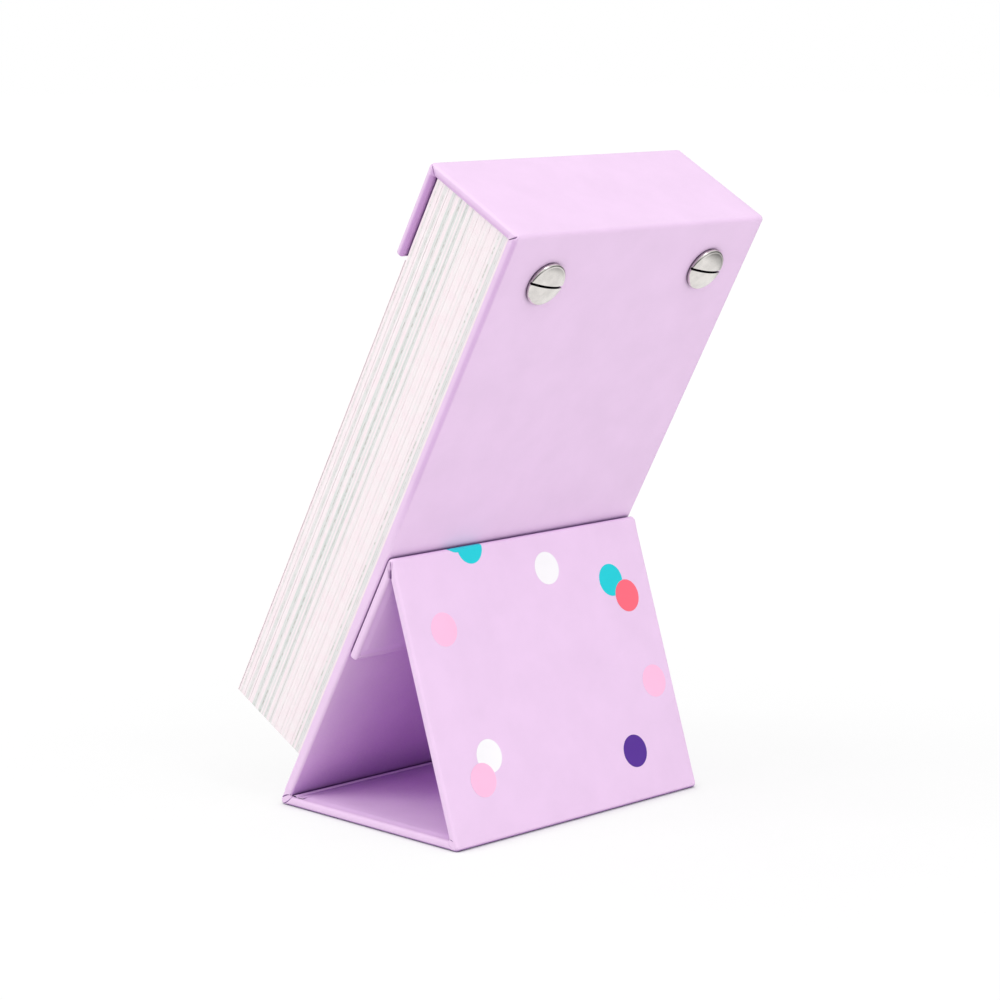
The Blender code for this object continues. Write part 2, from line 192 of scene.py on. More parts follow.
def world(x, point):
    """A point of the section at a place across the case, in the frame."""
    return Vector((x, point[0] + HEEL_Y, point[1]))


def section_frame(point, angle):
    """A frame at a point of the section: x across the case, y along the angle, z a quarter turn on."""
    return Matrix.Translation(world(0.0, point)) @ Matrix.Rotation(angle, 4, "X")


HEEL = Vector((0.0, 0.0))
FOOT = Vector((BASE_LENGTH, 0.0))
APEX = on_back(APEX_HEIGHT, PANEL_DEPTH + FLAP_GAP)
SPINE_BACK = on_back(BACK_HEIGHT, PANEL_DEPTH)
SPINE_FRONT = on_back(BACK_HEIGHT, PANEL_DEPTH - CASE_DEPTH)


class Fold:
    """A fold of the case: its outer corner, and the two panels that meet there with their depths."""

    def __init__(self, corner, first, second, depths=(EDGE_DEPTH, EDGE_DEPTH)):
        self.corner = corner
        self.arms = [first.normalized(), second.normalized()]
        self.depths = depths
        self.bisector = (self.arms[0] + self.arms[1]).normalized()
        self.angle = first.angle(second)
        self.setback = PANEL_DEPTH / math.tan(self.angle / 2) + FOLD_CLEARANCE

    def inward(self, arm):
        """The normal of a panel that points into the fold."""
        across = turned(arm, math.pi / 2)
        return across if across.dot(self.bisector) > 0 else -across

    def inner_corner(self, index):
        """Where a panel's inner face ends at the fold."""
        arm = self.arms[index]
        return self.corner + arm * self.setback + self.inward(arm) * self.depths[index]


FOLDS = {
    "strip": Fold(SPINE_FRONT, -UP, BACK, (EDGE_DEPTH, FLUSH_DEPTH)),
    "spine": Fold(SPINE_BACK, -BACK, -UP, (FLUSH_DEPTH, FLUSH_DEPTH)),
    "heel": Fold(HEEL, FOOT - HEEL, UP, (EDGE_DEPTH, PANEL_DEPTH)),
    "foot": Fold(FOOT, HEEL - FOOT, APEX - FOOT),
    "apex": Fold(APEX, FOOT - APEX, -UP),
}


class Panel:
    """A panel of the case, from a start corner to an end corner along its outer face.

    Its frame has x across, y from start to end and z outwards, with the outer face at z = 0.
    """

    def __init__(self, start, end, start_fold, end_fold, depth=EDGE_DEPTH):
        along = end - start
        self.depth = depth
        self.frame = section_frame(start, math.atan2(along[1], along[0]))
        self.free_start = start_fold is None
        self.start = 0.0 if self.free_start else FOLDS[start_fold].setback
        self.end = along.length - FOLDS[end_fold].setback


PANELS = {
    "strip": Panel(SPINE_FRONT - UP * STRIP_HEIGHT, SPINE_FRONT, None, "strip"),
    "spine": Panel(SPINE_FRONT, SPINE_BACK, "strip", "spine", FLUSH_DEPTH),
    "back": Panel(SPINE_BACK, on_back(0.0, PANEL_DEPTH), "spine", "heel", FLUSH_DEPTH),
    "flap": Panel(APEX - UP * FLAP_LENGTH, APEX, None, "apex"),
    "stand": Panel(APEX, FOOT, "apex", "foot"),
    "base": Panel(FOOT, HEEL, "foot", "heel"),
}
PANEL_SEEDS = {name: float(seed) for seed, name in enumerate(PANELS)}


def body_of(panel):
    """The body that a panel belongs to."""
    return panel if panel in ("flap", "stand", "base") else "case"


def linear(colour):
    """An 8-bit sRGB colour as a linear RGBA."""
    channels = [c / 255 for c in colour]
    return (*[c / 12.92 if c <= 0.04045 else ((c + 0.055) / 1.055) ** 2.4 for c in channels], 1.0)


def shaded(colour, factor):
    """A linear RGBA made darker or lighter."""
    return (*[min(1.0, c * factor) for c in colour[:3]], 1.0)


class Nodes:
    """A node tree, with short ways to add and join its nodes."""

    def __init__(self, tree, coordinates):
        self.tree = tree
        self.place = self.add("ShaderNodeTexCoord").outputs[coordinates]

    def add(self, kind, **values):
        node = self.tree.nodes.new(kind)
        for key, value in values.items():
            setattr(node, key, value)
        return node

    def join(self, source, target):
        self.tree.links.new(source, target)

    def noise(self, size, detail=4.0, roughness=0.55, place=None):
        """Noise whose features are about this size."""
        node = self.add("ShaderNodeTexNoise")
        node.inputs["Scale"].default_value = 1.0 / size
        node.inputs["Detail"].default_value = detail
        node.inputs["Roughness"].default_value = roughness
        self.join(place or self.place, node.inputs["Vector"])
        return node.outputs["Fac"]

    def ramp(self, factor, stops):
        """A colour ramp from (position, linear RGBA) stops."""
        node = self.add("ShaderNodeValToRGB")
        ends = node.color_ramp.elements
        while len(ends) < len(stops):
            ends.new(0.5)
        for end, (position, colour) in zip(ends, stops):
            end.position = position
            end.color = colour
        self.join(factor, node.inputs["Fac"])
        return node.outputs["Color"]

    def remap(self, value, low, high, new_low, new_high):
        node = self.add("ShaderNodeMapRange")
        limits = {"From Min": low, "From Max": high, "To Min": new_low, "To Max": new_high}
        for key, number in limits.items():
            node.inputs[key].default_value = number
        self.join(value, node.inputs["Value"])
        return node.outputs["Result"]

    def fill(self, node, values):
        """Set or join inputs of a node by identifier, each value a socket or a plain number or colour."""
        sockets = {socket.identifier: socket for socket in node.inputs}
        for key, value in values.items():
            if isinstance(value, (int, float, tuple)):
                sockets[key].default_value = value
            else:
                self.join(value, sockets[key])

    def math(self, operation, first, second):
        node = self.add("ShaderNodeMath", operation=operation)
        self.fill(node, {"Value": first, "Value_001": second})
        return node.outputs["Value"]

    def mix_node(self, kind, factor, first, second, **settings):
        node = self.add("ShaderNodeMix", **settings)
        self.fill(node, {"Factor_Float": factor, f"A_{kind}": first, f"B_{kind}": second})
        return next(s for s in node.outputs if s.identifier == f"Result_{kind}")

    def blend_values(self, factor, first, second):
        return self.mix_node("Float", factor, first, second, data_type="FLOAT")

    def mix(self, factor, first, second, blend="MIX"):
        return self.mix_node("Color", factor, first, second, data_type="RGBA", blend_type=blend)

    def occlusion(self, reach):
        """How open a place is, from 0 to 1."""
        node = self.add("ShaderNodeAmbientOcclusion", samples=8)
        node.inputs["Distance"].default_value = reach
        return node.outputs["AO"]

    def towards(self, azimuth, elevation, inner, outer):
        """1 for directions within the inner angle of this one, falling to 0 at the outer angle."""
        node = self.add("ShaderNodeVectorMath", operation="DOT_PRODUCT")
        self.join(self.place, node.inputs[0])
        node.inputs[1].default_value = direction(math.radians(azimuth), math.radians(elevation))
        low, high = math.cos(math.radians(outer)), math.cos(math.radians(inner))
        return self.remap(node.outputs["Value"], low, high, 0.0, 1.0)


class Shader(Nodes):
    """A material with its node tree."""

    def __init__(self, name):
        self.material = bpy.data.materials.new(name)
        self.material.use_nodes = True
        super().__init__(self.material.node_tree, "Object")
        self.surface = self.tree.nodes["Principled BSDF"]

    def set(self, values):
        """Plain numbers and colours of the surface, by the names of its sockets."""
        for name, value in values.items():
            self.surface.inputs[name].default_value = value

    def feed(self, name, source):
        """Join a node's output to a socket of the surface."""
        self.join(source, self.surface.inputs[name])

    def attribute(self, name):
        """A number that is stored with each vertex."""
        return self.add("ShaderNodeAttribute", attribute_name=name).outputs["Fac"]

    def bump(self, *layers):
        """Bumps laid one on the other, each a (height, strength, distance)."""
        below = None
        for height, strength, distance in layers:
            node = self.add("ShaderNodeBump")
            node.inputs["Strength"].default_value = strength
            node.inputs["Distance"].default_value = distance
            self.join(height, node.inputs["Height"])
            if below:
                self.join(below, node.inputs["Normal"])
            below = node.outputs["Normal"]
        self.feed("Normal", below)


# Shade painted into the paper's colour deep inside the case and in its creases, darker and more purple the less
# open a place is, as (reach, how open it starts, how open it is at full strength, linear tint)
PAINTED_OCCLUSION_SHADE = [
    (60 * MM, 0.26, 0.03, (0.8, 0.48, 0.98, 1.0)),
    (22 * MM, 0.44, 0.2, (0.5, 0.38, 0.6, 1.0)),
    (1.6 * MM, 0.4, 0.08, (0.3, 0.16, 0.38, 1.0)),
]

# Shade painted on the sides of the strip and the spine where they turn in towards the pages, and on the back's
# rounded outer corners
PAINTED_SIDE_SHADE_TINT = (0.68, 0.5, 0.74, 1.0)
GRAIN = 0.35  # how strongly the paper's grain shows


def paper_finish(shader, colour, roughness, mottle=0.03):
    """Printed and coated paper: faint mottling, fine grain and a soft satin gloss, with shade painted into its
    colour where it is closed in and on marked sides.
    """
    base = linear(colour)
    cloud = shader.noise(9 * MM, detail=5.0)
    tone = shader.ramp(cloud, [(0.3, shaded(base, 1 - mottle)), (0.7, shaded(base, 1 + mottle / 2))])
    # Painted shade: the colour is darkened and made more purple where the place is closed in
    for reach, open_from, closed_at, tint in PAINTED_OCCLUSION_SHADE:
        closed = shader.remap(shader.occlusion(reach), open_from, closed_at, 0.0, 1.0)
        tone = shader.mix(closed, tone, tint, blend="MULTIPLY")
    # Painted shade on the sides and corners marked on the mesh
    painted_shade = shader.attribute("painted_shade")
    tone = shader.mix(painted_shade, tone, PAINTED_SIDE_SHADE_TINT, blend="MULTIPLY")
    shader.feed("Base Color", tone)
    fine = shader.noise(0.22 * MM, detail=3.0, roughness=0.6)
    fibre = shader.noise(1.6 * MM, detail=6.0, roughness=0.65)
    rough = shader.remap(fibre, 0.3, 0.7, roughness - 0.05, roughness + 0.06)
    shader.feed("Roughness", rough)
    shader.bump((fibre, GRAIN * 0.5, 0.03 * MM), (fine, GRAIN, 0.012 * MM))
    shader.set({"Specular IOR Level": 0.45})


def cover_material():
    shader = Shader("cover_paper")
    paper_finish(shader, LILAC, 0.4)
    shader.set({"Coat Weight": 0.12, "Coat Roughness": 0.35})
    return shader.material


def lining_material():
    shader = Shader("lining_paper")
    paper_finish(shader, LINING_LILAC, 0.46)
    return shader.material


def print_material(name, colour):
    shader = Shader(name)
    paper_finish(shader, colour, 0.38, mottle=0.02)
    return shader.material


def greyboard_material():
    shader = Shader("greyboard")
    speck = shader.noise(0.5 * MM, detail=8.0, roughness=0.7)
    base = linear(GREYBOARD)
    tone = shader.ramp(speck, [(0.35, shaded(base, 0.7)), (0.65, shaded(base, 1.2))])
    shader.feed("Base Color", tone)
    shader.bump((speck, 0.5, 0.08 * MM))
    shader.set({"Roughness": 0.9})
    return shader.material


def page_material():
    """Page paper. The cut edges are streaked along each sheet by its own tint."""
    shader = Shader("page_paper")
    tint = shader.attribute("tint")
    streak = shader.noise(7 * MM, detail=3.0)
    amount = shader.math("MULTIPLY", tint, shader.remap(streak, 0.35, 0.65, 0.8, 1.1))
    warm = shader.ramp(shader.noise(3 * MM), [(0.3, linear(PAGE_PINK)), (0.7, linear(PAGE_WHITE))])
    colour = shader.mix(amount, warm, linear(PAGE_GREY))
    dash = shader.attribute("dash")
    broken = shader.remap(shader.noise(1.3 * MM, detail=2.0), 0.48, 0.58, 0.0, 0.7)
    line = shader.math("MULTIPLY", dash, broken)
    shader.feed("Base Color", shader.mix(line, colour, linear(PAGE_LINE)))
    fine = shader.noise(0.12 * MM, detail=4.0, roughness=0.7)
    shader.bump((fine, 0.2, 0.02 * MM))
    shader.set({"Roughness": 0.78, "Specular IOR Level": 0.3})
    return shader.material


def nickel_material():
    """Plated and polished, with faint turning marks and hairlines, and shade painted dark into its slot and round
    its rim.
    """
    shader = Shader("nickel")
    base = linear(NICKEL)
    haze = shader.noise(2.5 * MM, detail=6.0)
    tone = shader.ramp(haze, [(0.35, shaded(base, 0.86)), (0.65, base)])
    # Painted shade: the colour is darkened where the head is closed in, in its slot and at its rim
    closed = shader.remap(shader.occlusion(1.2 * MM), 0.95, 0.6, 0.0, 1.0)
    tone = shader.mix(closed, tone, (0.06, 0.03, 0.08, 1.0), blend="MULTIPLY")
    shader.feed("Base Color", tone)
    stretch = shader.add("ShaderNodeMapping")
    stretch.inputs["Rotation"].default_value = (LEAN - math.pi / 2, 0.0, 0.5)
    stretch.inputs["Scale"].default_value = (1.0, 14.0, 1.0)
    shader.join(shader.place, stretch.inputs["Vector"])
    hairline = shader.noise(1.2 * MM, detail=6.0, roughness=0.7, place=stretch.outputs["Vector"])
    shader.feed("Roughness", shader.remap(hairline, 0.3, 0.7, 0.1, 0.2))
    shader.bump((hairline, 0.12, 0.01 * MM))
    shader.set({"Metallic": 1.0})
    return shader.material


def magnet_material():
    shader = Shader("magnet")
    haze = shader.noise(1.0 * MM, detail=6.0)
    shader.feed("Roughness", shader.remap(haze, 0.3, 0.7, 0.25, 0.42))
    shader.bump((haze, 0.15, 0.02 * MM))
    shader.set({"Metallic": 1.0, "Base Color": linear(MAGNET_GREY)})
    return shader.material


MATERIALS = {
    "cover_paper": cover_material(),
    "lining_paper": lining_material(),
    "greyboard": greyboard_material(),
    "page_paper": page_material(),
    "nickel": nickel_material(),
    "magnet": magnet_material(),
}
for ink, shade in PRINT_COLOURS.items():
    MATERIALS[ink] = print_material(f"print_{ink}", shade)


def link(name, data):
    """A new object in the scene."""
    item = bpy.data.objects.new(name, data)
    bpy.context.scene.collection.objects.link(item)
    return item


def finished(name, shape):
    """A mesh from a bmesh, which is freed."""
    mesh = bpy.data.meshes.new(name)
    shape.to_mesh(mesh)
    shape.free()
    return mesh


def new_piece(name, mesh, material):
    piece = link(name, mesh)
    mesh.materials.clear()
    mesh.materials.append(MATERIALS[material])
    return piece


def shade_smooth(piece, angle=35.0):
    mesh = piece.data
    mesh.shade_smooth()
    mesh.set_sharp_from_angle(angle=math.radians(angle))


def grid_mesh(name, rows, closed=False):
    """A sheet of quads from rows of points."""
    width = len(rows[0])
    spans = width if closed else width - 1
    faces = [
        (r * width + c, r * width + (c + 1) % width, (r + 1) * width + (c + 1) % width, (r + 1) * width + c)
        for r in range(len(rows) - 1)
        for c in range(spans)
    ]
    mesh = bpy.data.meshes.new(name)
    mesh.from_pydata([point for row in rows for point in row], [], faces)
    return mesh


def apply_modifiers(piece):
    graph = bpy.context.evaluated_depsgraph_get()
    mesh = bpy.data.meshes.new_from_object(piece.evaluated_get(graph))
    piece.modifiers.clear()
    piece.data = mesh


def thicken(piece, thickness, offset=-1.0, angle=35.0):
    """Give a sheet its thickness, and shade it smooth."""
    layer = piece.modifiers.new("paper", "SOLIDIFY")
    layer.thickness = thickness
    layer.offset = offset
    layer.use_even_offset = False
    apply_modifiers(piece)
    shade_smooth(piece, angle)


def smooth_step(value):
    value = min(1.0, max(0.0, value))
    return value * value * (3 - 2 * value)


def wave(x, y, seed):
    """How far the covered board lies under flat at a place, always downwards."""
    swell = noise.noise(Vector((x / WAVE_LENGTH, y / WAVE_LENGTH, seed)))
    return WAVE_HEIGHT * (0.5 + 0.5 * swell)


def end_fade(panel, y):
    """0 at the ends of a panel and 1 a little way in."""
    return smooth_step((y - panel.start) / END_FADE) * smooth_step((panel.end - y) / END_FADE)


def bisect(shape, axis, place):
    plane = Vector((0.0, 0.0, 0.0))
    plane[axis] = 1.0
    geometry = [*shape.verts, *shape.edges, *shape.faces]
    bmesh.ops.bisect_plane(shape, geom=geometry, plane_co=plane * place, plane_no=plane)


def grid_lines(low, high, step):
    count = max(1, round((high - low) / step))
    return [low + (high - low) * i / count for i in range(1, count)]


def make_cover(name, panel, seed):
    """The cover paper of one panel: outer face, rounded sides and turned-in edges."""
    low = Vector((-HALF_WIDTH, panel.start, -panel.depth))
    high = Vector((HALF_WIDTH, panel.end, 0.0))
    shape = bmesh.new()
    bmesh.ops.create_cube(shape, size=1.0)
    bmesh.ops.scale(shape, vec=high - low, verts=shape.verts)
    bmesh.ops.translate(shape, vec=(low + high) / 2, verts=shape.verts)

    def rounded(edge, level):
        a, b = [v.co for v in edge.verts]
        if abs(a.z - level) > NEAR or abs(b.z - level) > NEAR:
            return False
        if abs(a.y - b.y) > NEAR:
            return True
        return panel.free_start and abs(a.y - panel.start) < NEAR

    upright = [e for e in shape.edges if abs(e.verts[0].co.z - e.verts[1].co.z) > NEAR]
    corners = [e for e in upright if panel.free_start and abs(e.verts[0].co.y - panel.start) < NEAR]
    for edges, radius in ((corners, COVER_RADIUS), (0.0, COVER_RADIUS), (-panel.depth, INNER_RADII[name])):
        if isinstance(edges, float):
            edges = [e for e in shape.edges if rounded(e, edges)]
        if edges:
            bmesh.ops.bevel(
                shape,
                geom=edges,
                offset=radius,
                segments=COVER_SEGMENTS,
                profile=0.5,
                affect="EDGES",
                clamp_overlap=False,
            )
    window_start = panel.start + (TURN_IN if panel.free_start else 0.0)
    lines = grid_lines(panel.start, panel.end, GRID_STEP)
    if panel.free_start:
        lines = [line for line in lines if abs(line - window_start) > GRID_STEP / 4]
        lines.append(window_start)
    for line in lines:
        bisect(shape, 1, line)
    half_window = HALF_WIDTH - TURN_IN
    lines = grid_lines(-HALF_WIDTH, HALF_WIDTH, GRID_STEP)
    lines = [line for line in lines if abs(abs(line) - half_window) > GRID_STEP / 4]
    for line in [*lines, -half_window, half_window]:
        bisect(shape, 0, line)
    for line in grid_lines(-panel.depth, 0.0, SIDE_STEP):
        bisect(shape, 2, line)

    def removed(face):
        middle = face.calc_center_median()
        at_fold = abs(middle.y - panel.end) < NEAR or (
            not panel.free_start and abs(middle.y - panel.start) < NEAR
        )
        in_window = (
            middle.z < NEAR - panel.depth and abs(middle.x) < half_window and middle.y > window_start
        )
        return at_fold or in_window

    bmesh.ops.delete(shape, geom=[f for f in shape.faces if removed(f)], context="FACES")
    for vertex in shape.verts:
        x, y, z = vertex.co
        if z > -NEAR:
            vertex.co.z -= wave(x, y, seed) * end_fade(panel, y)
    bmesh.ops.transform(shape, matrix=panel.frame, verts=shape.verts)
    bmesh.ops.recalc_face_normals(shape, faces=shape.faces)
    mesh = finished(f"{name}_cover", shape)
    cover = new_piece(f"{name}_cover", mesh, "cover_paper")
    thicken(cover, PAPER)
    mark_turned_in(cover, [name])
    if name == "back":
        mark_worn_corner(cover)
    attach(cover, body_of(name))
    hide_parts(f"{name}_wrap")


# How strongly shade is painted on the sides of these panels where they turn in towards the pages
PAINTED_SIDE_SHADE = {"strip": 1.0, "spine": 0.45}
# Painted shade on the back's rounded outer corners, fading out down the back
PAINTED_CORNER_SHADE = 0.5  # the same for the rounded outer corners of the back, over its upper part
CORNER_SHADE_FADE = (55 * MM, 80 * MM)  # from the spine, over which that ends


def mark_turned_in(piece, names):
    """Paint shade on the sides of a cover or fold over their inner part."""
    if not all(name in PAINTED_SIDE_SHADE for name in names):
        return
    panels = [PANELS[name] for name in names]
    frames = [panel.frame.inverted() for panel in panels]
    depth = min(panel.depth for panel in panels)
    amount = sum(PAINTED_SIDE_SHADE[name] for name in names) / len(names)
    marks = []
    for vertex in piece.data.vertices:
        level = min(-(to_panel @ vertex.co).z for to_panel in frames)
        beside = 1.0 if abs(vertex.co.x) > HALF_WIDTH - 1.2 * MM else 0.0
        marks.append(beside * amount * smooth_step((level / depth - 0.35) / 0.4))
    mark(piece, marks)


def mark_worn_corner(piece):
    """Paint shade on the rounded corners along the sides of the back."""
    to_back = PANELS["back"].frame.inverted()
    marks = []
    for vertex in piece.data.vertices:
        x, y, z = to_back @ vertex.co
        beside = smooth_step((abs(x) - HALF_WIDTH + 0.9 * MM) / (0.5 * MM))
        reach = smooth_step((0.1 * MM - z) / (0.3 * MM)) * smooth_step((1.3 * MM + z) / (0.5 * MM))
        along = smooth_step(y / (2 * MM)) * smooth_step((CORNER_SHADE_FADE[1] - y) / (CORNER_SHADE_FADE[1] - CORNER_SHADE_FADE[0]))
        marks.append(PAINTED_CORNER_SHADE * beside * reach * along)
    mark(piece, marks)


def mark(piece, marks):
    piece.data.attributes.new("painted_shade", "FLOAT", "POINT").data.foreach_set("value", marks)


def feathered(low, high):
    """Places from low to high, closer together over the feathered ends."""
    ends = [LINING_FEATHER * i / 6 for i in range(7)]
    middle = grid_lines(low + LINING_FEATHER, high - LINING_FEATHER, GRID_STEP)
    return [low + end for end in ends] + middle + [high - end for end in reversed(ends)]


def make_lining(name):
    """The lining paper of one panel, whose edges come down softly to the turned-in cover."""
    panel = PANELS[name]
    to_panel = panel.frame.inverted()
    points = [to_panel @ v.co for v in frame["nodes"][f"{name}_liner"].data.vertices]
    starts, ends = min(p.y for p in points), max(p.y for p in points)
    rise = -min(p.z for p in points) - panel.depth
    half = HALF_WIDTH - INNER_RADII[name] - 0.1 * MM
    columns = feathered(-half, half)
    rows = []
    for y in feathered(starts, ends):
        end_rise = smooth_step(min(y - starts, ends - y) / LINING_FEATHER)
        row = []
        for x in columns:
            level = panel.depth + rise * end_rise * smooth_step((half - abs(x)) / LINING_FEATHER)
            row.append(panel.frame @ Vector((x, y, -level)))
        rows.append(row)
    mesh = grid_mesh(f"{name}_lining", rows)
    middle = len(mesh.polygons) // 2 + len(columns) // 2
    face_outwards(mesh, middle, panel.frame.to_3x3() @ Vector((0.0, 0.0, 1.0)))
    lining = new_piece(f"{name}_lining", mesh, "lining_paper")
    thicken(lining, LINING_SKIN)
    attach(lining, body_of(name))
    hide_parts(f"{name}_liner")


# Creases on the sides of each fold, from its outer skin to its inner corner: the share of the way from the
# first panel to the second at either end, the depth, and the share of the way in at which it starts
FOLD_CREASES = {
    "strip": [(0.46, 0.8, 1.1, 0.0), (0.16, 0.1, 0.08, 0.2)],
    "spine": [(0.5, 0.5, 0.5, 0.12), (0.1, 0.1, 0.06, 0.2), (0.9, 0.9, 0.06, 0.2)],
    "heel": [(0.4, 0.1, 0.25, 0.1), (0.62, 0.9, 0.5, 0.1)],
    "foot": [(0.3, 0.15, 0.12, 0.2), (0.7, 0.85, 0.5, 0.5)],
    "apex": [(0.45, 0.35, 0.35, 0.0), (0.5, 0.5, 1.2, 0.35), (0.56, 0.7, 0.35, 0.0)],
}
# How far a slit between the boards' ends runs up into a fold, as a share of the fold's depth
FOLD_SLITS = {"apex": 0.5}

FOLD_PANELS = {
    "strip": ("strip", "spine"),
    "spine": ("spine", "back"),
    "heel": ("base", "back"),
    "foot": ("base", "stand"),
    "apex": ("stand", "flap"),
}


def fold_path(fold):
    """Stations round the outside of a fold, each a place and the normal into the fold."""
    centre = fold.corner + fold.bisector * (FOLD_RADIUS / math.sin(fold.angle / 2))
    tangent = FOLD_RADIUS / math.tan(fold.angle / 2)
    first, second = fold.arms
    start_normal, end_normal = fold.inward(first), fold.inward(second)
    sweep = start_normal.angle_signed(end_normal)
    straight = max(2, round((fold.setback - tangent) / STATION_STEP))
    turns = max(6, round(FOLD_RADIUS * abs(sweep) / STATION_STEP))
    reaches = [fold.setback + (tangent - fold.setback) * i / straight for i in range(straight)]
    path = [(fold.corner + first * reach, start_normal) for reach in reaches]
    normals = [turned(start_normal, -sweep * i / turns) for i in range(turns + 1)]
    path += [(centre - normal * FOLD_RADIUS, normal) for normal in normals]
    path += [(fold.corner + second * reach, end_normal) for reach in reversed(reaches)]
    return path


def running_lengths(path):
    """How far along a path each of its stations is."""
    lengths = [0.0]
    for (a, _), (b, _) in zip(path, path[1:]):
        lengths.append(lengths[-1] + (b - a).length)
    return lengths


def side_profile(depth, inner_radius):
    """The covered side of a board as (inset, level under the outer face), from the inner face out."""
    turns = [math.pi / 2 * i / COVER_SEGMENTS for i in range(COVER_SEGMENTS + 1)]
    bend = [(1 - math.sin(turn), 1 - math.cos(turn)) for turn in turns]
    profile = [(inner_radius * inset, depth - inner_radius * level) for inset, level in bend]
    flat = depth - COVER_RADIUS - inner_radius
    profile += [(0.0, COVER_RADIUS + flat * (1 - i / 8)) for i in range(1, 8)]
    return profile + [(COVER_RADIUS * level, COVER_RADIUS * inset) for inset, level in bend]


def drawn_in(name, share, level, length):
    """How far the side of a fold is drawn in by its creases."""
    drawn = 0.0
    for outer, inner, depth, start in FOLD_CREASES[name]:
        distance = (share - outer - (inner - outer) * level) * length
        reach = smooth_step((level - start + 0.1) / 0.2)
        drawn += depth * MM * reach * math.exp(-((distance / CREASE_WIDTH) ** 2))
    return drawn


def make_fold(name):
    """The paper round one fold: the outer skin, with its sides drawn in between the boards' ends."""
    fold = FOLDS[name]
    bodies = [body_of(panel) for panel in FOLD_PANELS[name]]
    path = fold_path(fold)
    inner = [fold.inner_corner(0), fold.inner_corner(1)]
    lengths = running_lengths(path)
    across = [(1 - i / 13) * (HALF_WIDTH - COVER_RADIUS) for i in range(1, 26)]
    radii = [INNER_RADII[panel] for panel in FOLD_PANELS[name]]
    slit = FOLD_SLITS.get(name, 0.0)
    rows = []
    for (place, normal), length in zip(path, lengths):
        share = length / lengths[-1]
        wall = inner[0].lerp(inner[1], smooth_step(share)) - place
        wall *= 1 - slit * (1 - abs(2 * share - 1))
        down = wall.normalized()
        side = []
        radius = radii[0] + (radii[1] - radii[0]) * smooth_step(share)
        for inset, level in side_profile(wall.length, radius):
            drawn = drawn_in(name, share, level / wall.length, lengths[-1])
            side.append((HALF_WIDTH - inset - drawn, level))
        row = [world(x, place + down * level) for x, level in side]
        row += [world(x, place) for x in across]
        row += [world(-x, place + down * level) for x, level in reversed(side)]
        if slit:
            row += [world(-x, place + wall) for x in across]
        rows.append(row)
    middle = len(side) + len(across) // 2
    mesh = grid_mesh(f"{name}_fold", rows, closed=slit > 0.0)
    face_outwards(mesh, middle, Vector((0.0, *path[0][1])))
    piece = new_piece(f"{name}_fold", mesh, "cover_paper")
    thicken(piece, PAPER, angle=60.0)
    mark_turned_in(piece, FOLD_PANELS[name])
    if name == "spine":
        mark_worn_corner(piece)
    if bodies[0] == bodies[1]:
        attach(piece, bodies[0])
    else:
        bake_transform(piece)
    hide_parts(f"{name}_hinge_paper")


def face_outwards(mesh, face, inward):
    """Turn a sheet's faces over if this one's normal points the wrong way."""
    if mesh.polygons[face].normal.dot(inward) > 0:
        mesh.flip_normals()


# The ridge of paper along the inner side of the heel, as (distance from the heel, height) from its groove
GUTTER = [
    (3.98, 1.6), (4.02, 1.85), (4.12, 2.1), (4.28, 2.32), (4.5, 2.45),
    (4.75, 2.48), (5.0, 2.42), (5.2, 2.28), (5.32, 2.14), (5.44, 2.1),
    (5.56, 2.15), (5.7, 2.26), (5.95, 2.29), (6.4, 2.29), (7.2, 2.28),
]


def make_gutter():
    """The paper that covers the base's board where it meets the back, with a ridge along the fold."""
    half = HALF_WIDTH - 0.7 * MM
    columns = [half - 2 * half * i / 40 for i in range(41)]
    rows = [[world(x, Vector((y, z)) * MM) for x in columns] for y, z in GUTTER]
    mesh = grid_mesh("heel_gutter", rows)
    face_outwards(mesh, len(mesh.polygons) - 1, Vector((0.0, 0.0, -1.0)))
    gutter = new_piece("heel_gutter", mesh, "lining_paper")
    thicken(gutter, 0.1 * MM, angle=60.0)
    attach(gutter, "base")


PAGE_FRAME = section_frame(HEEL, LEAN)  # y up the back, z out of the front of the pages
TO_PAGES = PAGE_FRAME.inverted()
# Where the page edges are greyer, as shares of the block's depth from the front: (from, to, how grey)
GREY_BANDS = [
    (0.02, 0.045, 0.45),
    (0.105, 0.15, 0.75),
    (0.215, 0.268, 0.9),
    (0.312, 0.358, 0.95),
    (0.368, 0.39, 0.6),
    (0.402, 0.445, 0.9),
    (0.485, 0.525, 0.6),
    (0.56, 0.575, 0.2),
    (0.7, 0.712, 0.2),
    (0.86, 0.89, 0.6),
    (0.912, 0.96, 0.8),
]
# Single sheets with a broken dark line of print at the edge, as the same shares
DASHED_AT = [0.03, 0.13, 0.245, 0.34, 0.425, 0.873, 0.94]
SHEET_STEPS = 16


def page_box(node):
    """A page node's low and high corners in the pages' own frame."""
    points = [TO_PAGES @ v.co for v in frame["nodes"][node].data.vertices]
    low = Vector([min(p[i] for p in points) for i in range(3)])
    high = Vector([max(p[i] for p in points) for i in range(3)])
    return low, high


